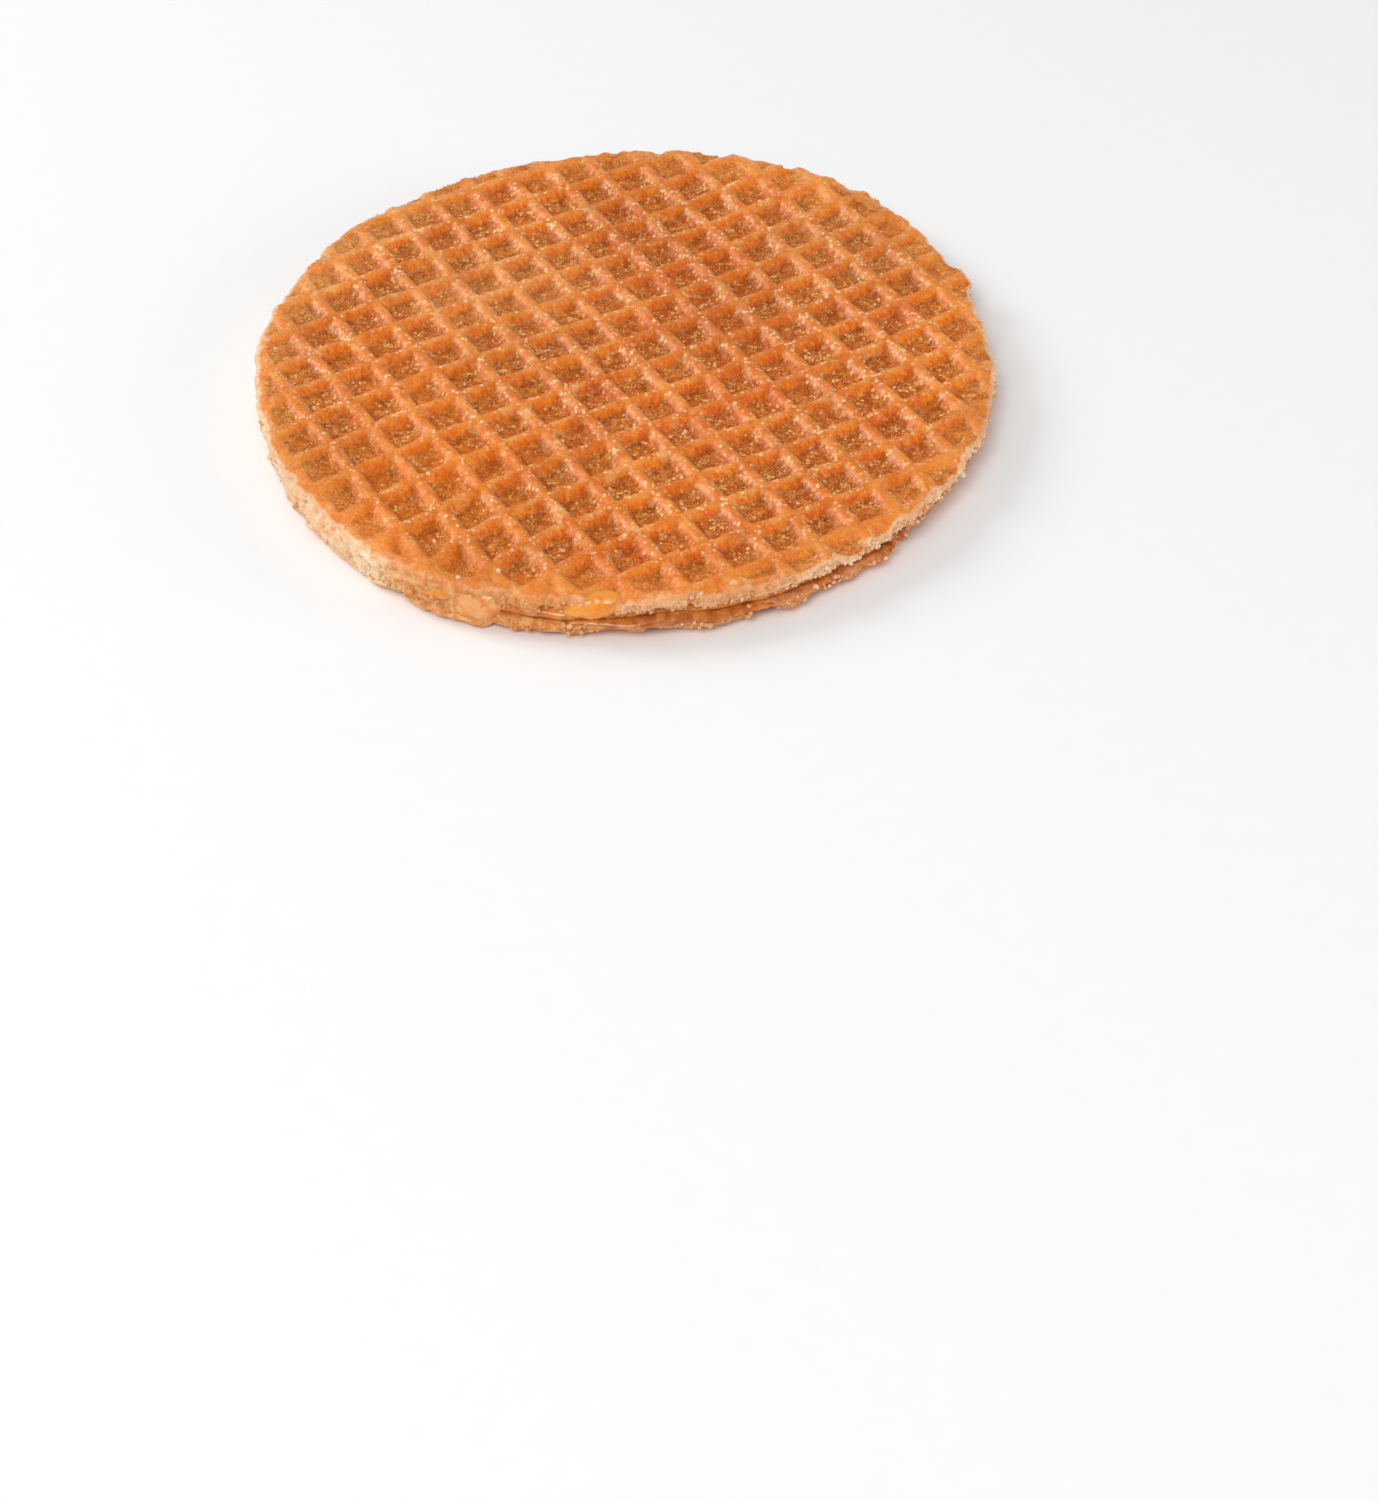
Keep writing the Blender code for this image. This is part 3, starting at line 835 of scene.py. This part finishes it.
loose_places = scattered(190)[0]
loose_sizes = (0.3 + 0.6 * random.random(len(loose_places)) ** 2.5) * MM
loose_crumbs = add_skin("loose_crumbs", *crumb_skin(random, CRUMB, loose_places, loose_sizes, 0.55), {}, None)

# %% [markdown]
# ## Finishes
# A finish is a network of nodes. The same few nodes come back in each: a noise of
# a given grain size, a value spread between two limits, and a blend of two colours. A small
# class gives these short names, so each finish below reads as a recipe.
# Colours are written as they look on a screen, 0 to 255, and turned into light here.

# %% Write the finish helper
def paint(red, green, blue):
    """Screen colour to linear light: ((c + 0.055) / 1.055) ^ 2.4, and c / 12.92 in the dark."""
    light = []
    for value in (red, green, blue):
        c = value / 255.0
        light.append(c / 12.92 if c <= 0.04045 else ((c + 0.055) / 1.055) ** 2.4)
    return (*light, 1.0)


class Finish:
    """A material that is being made, with short names for the nodes that a finish needs."""

    def __init__(self, name):
        self.material = bpy.data.materials.new(name)
        self.material.use_nodes = True
        self.tree = self.material.node_tree
        self.shader = self.tree.nodes["Principled BSDF"]
        self.here = self.node("ShaderNodeTexCoord").outputs["Object"]

    def node(self, kind, **settings):
        """A new node with its settings."""
        made = self.tree.nodes.new(kind)
        for key, value in settings.items():
            setattr(made, key, value)
        return made

    def feed(self, socket, value):
        """Link a value that comes from a node, or write a plain one onto the socket."""
        if isinstance(value, bpy.types.NodeSocket):
            self.tree.links.new(value, socket)
        else:
            socket.default_value = value

    def set(self, **values):
        """Feed inputs of the shader: underscores in a name stand for spaces."""
        for key, value in values.items():
            self.feed(self.shader.inputs[key.replace("_", " ")], value)

    def field(self, name, vector=False):
        """An attribute of the mesh."""
        found = self.node("ShaderNodeAttribute", attribute_name=name)
        return found.outputs["Vector" if vector else "Fac"]

    def scaled(self, where, x, y, z):
        """A place with its axes stretched."""
        mapping = self.node("ShaderNodeMapping")
        self.feed(mapping.inputs["Vector"], where)
        mapping.inputs["Scale"].default_value = (x, y, z)
        return mapping.outputs["Vector"]

    def moved(self, metres):
        """The place, shifted, so that a second noise of the same size differs from the first."""
        mapping = self.node("ShaderNodeMapping")
        self.feed(mapping.inputs["Vector"], self.here)
        mapping.inputs["Location"].default_value = (metres, metres, metres)
        return mapping.outputs["Vector"]

    def streaks(self, times, times_across=1.0):
        """The place along the grid, squeezed so that a noise is drawn out that many times."""
        grid = self.node("ShaderNodeAttribute", attribute_name="grid")
        mapping = self.node("ShaderNodeMapping")
        self.feed(mapping.inputs["Vector"], grid.outputs["Vector"])
        mapping.inputs["Scale"].default_value = (1.0 / times_across, 1.0 / times, 1.0)
        return mapping.outputs["Vector"]

    def noise(self, size, detail=2.0, rough=0.5, where=None):
        """Noise whose largest grains are about size across. Its values lie around a half."""
        made = self.node("ShaderNodeTexNoise")
        self.feed(made.inputs["Vector"], self.here if where is None else where)
        made.inputs["Scale"].default_value = 1.0 / size
        made.inputs["Detail"].default_value = detail
        made.inputs["Roughness"].default_value = rough
        return made.outputs["Fac"]

    def cells(self, size, where=None, output="Distance", feature="F1"):
        """Distance to the nearest of scattered points, about size apart."""
        made = self.node("ShaderNodeTexVoronoi", feature=feature)
        self.feed(made.inputs["Vector"], self.here if where is None else where)
        made.inputs["Scale"].default_value = 1.0 / size
        return made.outputs[output]

    def specks(self, size, chosen, shift):
        """Ragged dots about size across: a cell is shown when its own random number is over chosen."""
        made = self.node("ShaderNodeTexVoronoi", feature="F1")
        self.feed(made.inputs["Vector"], self.moved(shift))
        made.inputs["Scale"].default_value = 1.0 / size
        lit = self.node("ShaderNodeSeparateColor")
        self.feed(lit.inputs["Color"], made.outputs["Color"])
        picked = self.spread(lit.outputs["Red"], chosen, chosen + 0.2)
        return self.calc("MULTIPLY", picked, self.spread(made.outputs["Distance"], 0.4, 0.65, 1.0, 0.0))

    def spread(self, value, low, high, start=0.0, end=1.0):
        """start below low, end above high, and a smooth step between."""
        made = self.node("ShaderNodeMapRange", interpolation_type="SMOOTHSTEP")
        for key, part in zip(("Value", "From Min", "From Max", "To Min", "To Max"), (value, low, high, start, end)):
            self.feed(made.inputs[key], part)
        return made.outputs["Result"]

    def calc(self, operation, first, second=0.0, third=0.0):
        """One sum of two or three values."""
        made = self.node("ShaderNodeMath", operation=operation)
        for socket, value in zip(made.inputs, (first, second, third)):
            self.feed(socket, value)
        return made.outputs["Value"]

    def blend(self, amount, first, second, how="MIX"):
        """Two colours, blended by an amount from 0 to 1."""
        made = self.node("ShaderNodeMix", data_type="RGBA", blend_type=how)
        self.feed(made.inputs["Factor"], amount)
        self.feed(made.inputs[6], first)
        self.feed(made.inputs[7], second)
        return made.outputs[2]

    def bump(self, height, distance, under=None):
        """A bump of that real height, on top of an earlier one."""
        made = self.node("ShaderNodeBump")
        made.inputs["Strength"].default_value = 1.0
        made.inputs["Distance"].default_value = distance
        self.feed(made.inputs["Height"], height)
        if under is not None:
            self.feed(made.inputs["Normal"], under)
        return made.outputs["Normal"]


print("crust brown in linear light:", [round(part, 3) for part in paint(213, 129, 69)])

# %% [markdown]
# ## The baked crust
# Where the iron pressed hardest the crust is brown, and the pocket floors are made darker still
# as painted shade. The crests are lighter and waxy from the butter in the dough. The slopes are
# their own orange, painted pinker and paler as a waxy sheen. Those that face the front, away
# from the main light, are painted a deep saturated orange as shade. Pockets hold tiny shiny
# sugar grains, and pale flecks on the crust are partly sugar and partly painted glints. On the
# broken side there is pale crumb with pores made darker as painted shade, and at the front it
# has soaked up syrup. All of it is one recipe, driven by the mesh's own attributes, so each
# tone sits exactly on its own part of the shape.

# %% Mix the crust
def crust(name, dark):
    """The finish of a waffle half. dark is how strongly its toasted places show, from 0 to 1."""
    finish = Finish(name)
    ridge_part, open_part = finish.field("ridge"), finish.field("open")
    side_part, pore_part, rim_part = finish.field("side"), finish.field("pore"), finish.field("rim")
    soak, shaded_wall_part = finish.field("soak"), finish.field("shaded_wall")
    # Pocket floors: their own caramelised brown, made darker as painted shade in the hollows.
    floor_tone = finish.blend(
        finish.spread(finish.noise(1.2 * MM, 3.0, 0.6), 0.35, 0.65), paint(176, 80, 4), paint(222, 130, 38)
    )
    # Slopes: their own orange, made pinker and paler by a painted waxy sheen of the main light.
    slope_tone = finish.blend(
        finish.spread(finish.noise(2.0 * MM, 3.0, 0.55), 0.35, 0.65), paint(235, 144, 70), paint(248, 176, 122)
    )
    crest_tone = finish.blend(
        finish.spread(finish.noise(2.6 * MM, 4.0, 0.55), 0.36, 0.66), paint(230, 130, 36), paint(245, 158, 74)
    )
    # The walls that face away from the main light get a deep saturated orange: painted shade with the glow of light
    # through the dough. The streaks in it are the dough's own.
    streak = finish.noise(0.5 * MM, 3.0, 0.6, finish.streaks(4.0))
    shaded_wall_tone = finish.blend(finish.spread(streak, 0.35, 0.65), paint(232, 104, 0), paint(252, 156, 22))
    slope_tone = finish.blend(shaded_wall_part, slope_tone, shaded_wall_tone)
    # Pale streaks across the slopes: a painted sheen, weaker on the shaded walls and absent on the floors.
    across = finish.spread(finish.noise(0.7 * MM, 3.0, 0.65, finish.streaks(1.0, 2.5)), 0.5, 0.66)
    across = finish.calc("MULTIPLY", across, finish.calc("MULTIPLY_ADD", shaded_wall_part, -0.6, 0.6))
    tone = finish.blend(finish.spread(open_part, 0.15, 0.75), slope_tone, floor_tone)
    tone = finish.blend(finish.calc("MULTIPLY", shaded_wall_part, 0.75), tone, shaded_wall_tone)
    across = finish.calc("MULTIPLY", across, finish.spread(ridge_part, 0.02, 0.3))
    tone = finish.blend(across, tone, paint(255, 212, 176))
    tone = finish.blend(finish.spread(ridge_part, 0.7, 0.98), tone, crest_tone)
    pale = finish.calc(
        "MULTIPLY",
        finish.spread(finish.noise(4.0 * MM, 3.0, 0.65), 0.57, 0.7),
        finish.spread(ridge_part, 0.1, 0.6),
    )
    tone = finish.blend(finish.calc("MULTIPLY", pale, 0.6), tone, paint(240, 184, 112))
    ruddy = finish.spread(finish.noise(5.5 * MM, 3.0, 0.6, finish.moved(0.9)), 0.5, 0.66, 0.0, 0.4)
    tone = finish.blend(ruddy, tone, paint(208, 88, 14))
    tone = finish.blend(finish.calc("MULTIPLY", finish.field("brown"), 0.3), tone, paint(186, 76, 8))
    tone = finish.blend(finish.calc("MULTIPLY", finish.field("pale"), 0.22), tone, paint(244, 190, 118))
    tone = finish.blend(finish.calc("MULTIPLY", finish.field("golden"), 0.35), tone, paint(255, 146, 30))
    mottle = finish.spread(finish.noise(1.4 * MM, 3.0, 0.6, finish.moved(1.3)), 0.52, 0.68, 0.0, 0.45)
    tone = finish.blend(mottle, tone, paint(200, 84, 8))
    warm = finish.blend(
        finish.spread(finish.noise(2.4 * MM, 3.0, 0.6), 0.35, 0.65), paint(240, 134, 34), paint(252, 172, 82)
    )
    tone = finish.blend(finish.calc("MULTIPLY", finish.field("border"), 0.42), tone, warm)
    grainy = finish.spread(finish.noise(2.0 * MM, 3.0, 0.6, finish.moved(0.5)), 0.38, 0.62, 0.15, 1.0)
    # Pale flecks: partly the sugar's own pale grains, partly painted glints. There are fewer on the shaded walls and
    # the border.
    fleck_glint_tone = finish.blend(finish.spread(open_part, 0.1, 0.7), paint(255, 220, 172), paint(255, 208, 132))
    fleck_and_glint = finish.specks(0.5 * MM, 0.6, 0.3)
    bare = finish.calc("MULTIPLY_ADD", shaded_wall_part, -0.8, 1.0)
    bare = finish.calc("MULTIPLY", bare, finish.calc("MULTIPLY_ADD", finish.field("border"), -0.6, 1.0))
    fleck_and_glint = finish.calc("MULTIPLY", fleck_and_glint, bare)
    tone = finish.blend(finish.calc("MULTIPLY", fleck_and_glint, grainy), tone, fleck_glint_tone)
    # Dark spots: partly burnt sugar, partly painted shade, stronger and darker deeper in the pockets.
    deep = finish.spread(finish.noise(0.7 * MM, 3.0, 0.7, finish.moved(0.7)), 0.5, 0.62)
    burnt_and_recess_shade = finish.blend(finish.spread(open_part, 0.3, 0.8), paint(190, 76, 4), paint(150, 64, 8))
    tone = finish.blend(finish.calc("MULTIPLY", deep, finish.calc("MULTIPLY_ADD", open_part, 0.3, 0.1)), tone, burnt_and_recess_shade)
    crumb_tone = finish.blend(
        finish.spread(finish.noise(0.9 * MM, 4.0, 0.6), 0.35, 0.65), paint(250, 202, 152), paint(255, 232, 204)
    )
    toasted = finish.blend(
        finish.spread(finish.noise(1.6 * MM, 3.0, 0.6), 0.35, 0.65), paint(174, 86, 14), paint(220, 134, 52)
    )
    crumb_tone = finish.blend(finish.calc("MULTIPLY", finish.field("toast"), dark), crumb_tone, toasted)
    # The pores are a darker orange: painted shade in the bubble hollows.
    crumb_tone = finish.blend(finish.calc("MULTIPLY", pore_part, 0.6), crumb_tone, paint(226, 152, 86))
    wet = finish.blend(
        finish.spread(finish.noise(1.2 * MM, 3.0, 0.6), 0.38, 0.62), paint(222, 134, 56), paint(248, 186, 118)
    )
    crumb_tone = finish.blend(finish.calc("MULTIPLY", soak, 0.85), crumb_tone, wet)
    ragged = finish.calc("MULTIPLY_ADD", finish.noise(1.1 * MM, 3.0, 0.6), 0.9, -0.45)
    at_edge = finish.spread(finish.calc("ADD", rim_part, ragged), 0.7, 0.95)
    tone = finish.blend(finish.calc("MAXIMUM", side_part, finish.calc("MULTIPLY", at_edge, 0.7)), tone, crumb_tone)
    bake = finish.spread(finish.noise(13.0 * MM, 2.0, 0.5), 0.3, 0.7, 0.92, 1.06)
    fine = finish.spread(finish.noise(0.36 * MM, 3.0, 0.7), 0.34, 0.66, 0.79, 1.19)
    tone = finish.blend(1.0, tone, finish_grey(finish, bake), "MULTIPLY")
    tone = finish.blend(finish.calc("MULTIPLY_ADD", open_part, 0.65, 0.35), tone, finish_grey(finish, fine), "MULTIPLY")
    rough = finish.spread(finish.noise(0.5 * MM, 2.0, 0.6), 0.35, 0.65, 0.22, 0.5)
    rough = finish.calc("ADD", rough, finish.calc("MULTIPLY", side_part, 0.25))
    height = finish.bump(finish.noise(0.8 * MM, 4.0, 0.65), 0.30 * MM)
    height = finish.bump(finish.noise(0.32 * MM, 2.0, 0.6), 0.12 * MM, height)
    finish.set(Base_Color=tone, Roughness=rough, Normal=height)
    finish.set(Subsurface_Weight=0.45, Subsurface_Radius=(1.0, 0.35, 0.12), Subsurface_Scale=0.8 * MM)
    finish.set(Specular_IOR_Level=0.24, Coat_Weight=0.07, Coat_Roughness=0.24)
    return finish.material


def finish_grey(finish, value):
    """A grey of that value, to multiply a colour with."""
    made = finish.node("ShaderNodeCombineColor")
    for socket in made.inputs:
        finish.feed(socket, value)
    return made.outputs["Color"]


upper_crust = crust("baked_crust", 1.0)
lower_crust = crust("lower_baked_crust", 1.0)
print("crust nodes:", len(upper_crust.node_tree.nodes))

# %% [markdown]
# ## The syrup's finish
# Syrup is amber and glossy. Light goes in and comes out again warmer, so it needs
# some light under its surface, and a clear smooth coat for the wet shine.

# %% Mix the syrup
def syrup_finish(name, deep, light, wet):
    """Amber with drifts, soft ripples and a coat as strong as wet."""
    finish = Finish(name)
    drift = finish.spread(finish.noise(1.6 * MM, 3.0, 0.5), 0.35, 0.65)
    tone = finish.blend(drift, deep, light)
    rough = finish.spread(finish.noise(0.8 * MM, 2.0, 0.5), 0.35, 0.7, 0.12, 0.34)
    height = finish.bump(finish.noise(1.1 * MM, 3.0, 0.5), 0.14 * MM)
    finish.set(Base_Color=tone, Roughness=rough, Normal=height)
    finish.set(Subsurface_Weight=0.6, Subsurface_Radius=(1.0, 0.4, 0.1), Subsurface_Scale=1.4 * MM)
    finish.set(Coat_Weight=wet, Coat_Roughness=0.16)
    return finish.material


syrup = syrup_finish("syrup", paint(190, 100, 24), paint(232, 146, 54), 0.5)
bright_syrup = syrup_finish("bright_syrup", paint(236, 140, 30), paint(248, 164, 58), 0.5)
pale_syrup = syrup_finish("pale_syrup", paint(232, 136, 62), paint(248, 178, 112), 0.1)
dull_syrup = syrup_finish("dull_syrup", paint(172, 92, 28), paint(216, 138, 64), 0.1)

# %% [markdown]
# Crumbs are broken from both the crust and the pale middle, so their tone changes from
# crumb to crumb. A noise a little larger than a crumb does that without any extra data.

# %% Mix the crumbs
def crumb_finish(name, deep, light, wet=None):
    """A tone between deep and light for each crumb, with a fine grain; wet where it is soaked."""
    finish = Finish(name)
    tone = finish.blend(finish.spread(finish.noise(1.3 * MM, 2.0, 0.6), 0.35, 0.65), deep, light)
    if wet is not None:
        tone = finish.blend(finish.calc("MULTIPLY", finish.field("soak"), 0.8), tone, wet)
    grain = finish.spread(finish.noise(0.2 * MM, 2.0, 0.6), 0.3, 0.7, 0.88, 1.1)
    tone = finish.blend(1.0, tone, finish_grey(finish, grain), "MULTIPLY")
    height = finish.bump(finish.noise(0.25 * MM, 2.0, 0.6), 0.08 * MM)
    rough = finish.spread(finish.noise(0.6 * MM), 0.3, 0.7, 0.5, 0.75)
    finish.set(Base_Color=tone, Roughness=rough, Normal=height)
    finish.set(Subsurface_Weight=0.2, Subsurface_Radius=(1.0, 0.5, 0.25), Subsurface_Scale=0.5 * MM)
    return finish.material


crumb = crumb_finish("crumb", paint(228, 156, 98), paint(250, 218, 186), paint(232, 146, 62))
grain = crumb_finish("sugar_grain", paint(196, 110, 44), paint(244, 190, 122))

# %% [markdown]
# ## Join each piece to the CAD model
# Each skin stands for its CAD node, which is then hidden but still used for collision.
# Everything rides on the one body there is.

# %% Hand the pieces over
HANDED = (
    (upper_half, upper_crust, "baked_crust", ("wafer_top",)),
    (lower_half, lower_crust, "lower_baked_crust", ("wafer_bottom",)),
    (syrup_layer, syrup, "syrup", ("caramel",)),
    (dabs["syrup_drop"], bright_syrup, "syrup", ()),
    (dabs["syrup_lump"], pale_syrup, "syrup", ()),
    (dabs["syrup_fold"], bright_syrup, "syrup", ()),
    (dabs["syrup_run"], dull_syrup, "syrup", ()),
    (dabs["syrup_smear"], syrup, "syrup", ()),
    (edge_crumbs, crumb, "baked_crust", ()),
    (face_grains, grain, "baked_crust", ()),
    (loose_crumbs, crumb, "baked_crust", ()),
)
for piece, material, slot_name, nodes in HANDED:
    piece.data.materials.append(material)
    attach(piece, "root")
    if nodes:
        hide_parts(*nodes)
print(len(HANDED), "pieces handed over")

# %% [markdown]
# ## The floor and the light
# A plain pale floor and soft studio light. The main light stands behind and to the left, so
# the ridges' left and far slopes are lit and each pocket keeps a soft shadow; a broad
# weak one from the front and the pale surroundings fill the rest.

# %% Lay the floor and hang the lights
def lay_floor():
    """One square, a hair below the biscuit, with a faint grain."""
    reach = 2.0
    mesh = bpy.data.meshes.new("floor")
    corners = [(-reach, -reach, 0.0), (reach, -reach, 0.0), (reach, reach, 0.0), (-reach, reach, 0.0)]
    mesh.from_pydata([(x, y, -0.05 * MM) for x, y, z in corners], [], [(0, 1, 2, 3)])
    floor = bpy.data.objects.new("floor", mesh)
    bpy.context.scene.collection.objects.link(floor)
    finish = Finish("pale_floor")
    tone = finish.blend(finish.noise(3.0 * MM, 3.0), paint(245, 249, 253), paint(249, 252, 255))
    finish.set(Base_Color=tone, Roughness=0.8)
    mesh.materials.append(finish.material)
    return floor


def hang_light(name, place, size, power, tint):
    """A square lamp at a place, facing the biscuit: its -Z axis points at the middle."""
    lamp = bpy.data.lights.new(name, "AREA")
    lamp.shape = "SQUARE"
    lamp.size = size
    lamp.energy = power
    lamp.color = tint
    holder = bpy.data.objects.new(name, lamp)
    bpy.context.scene.collection.objects.link(holder)
    facing = -Matrix.Translation(place).to_translation()
    holder.rotation_euler = facing.to_track_quat("-Z", "Y").to_euler()
    holder.location = place
    return holder


floor = lay_floor()
main_light = hang_light("main_light", (-0.76, 0.35, 0.52), 0.45, 4.4, (1.0, 0.975, 0.945))
front_light = hang_light("front_light", (-0.25, -0.68, 0.85), 0.5, 5.45, (1.0, 0.98, 0.955))
side_light = hang_light("side_light", (0.85, -0.15, 0.2), 0.3, 1.9, (1.0, 0.98, 0.955))

world = bpy.data.worlds.new("surroundings")
world.use_nodes = True
world.node_tree.nodes["Background"].inputs["Color"].default_value = (1.0, 0.975, 0.945, 1.0)
world.node_tree.nodes["Background"].inputs["Strength"].default_value = 0.42
bpy.context.scene.world = world
bpy.context.scene.view_settings.view_transform = "Standard"
print("lights:", main_light.name, front_light.name, side_light.name)
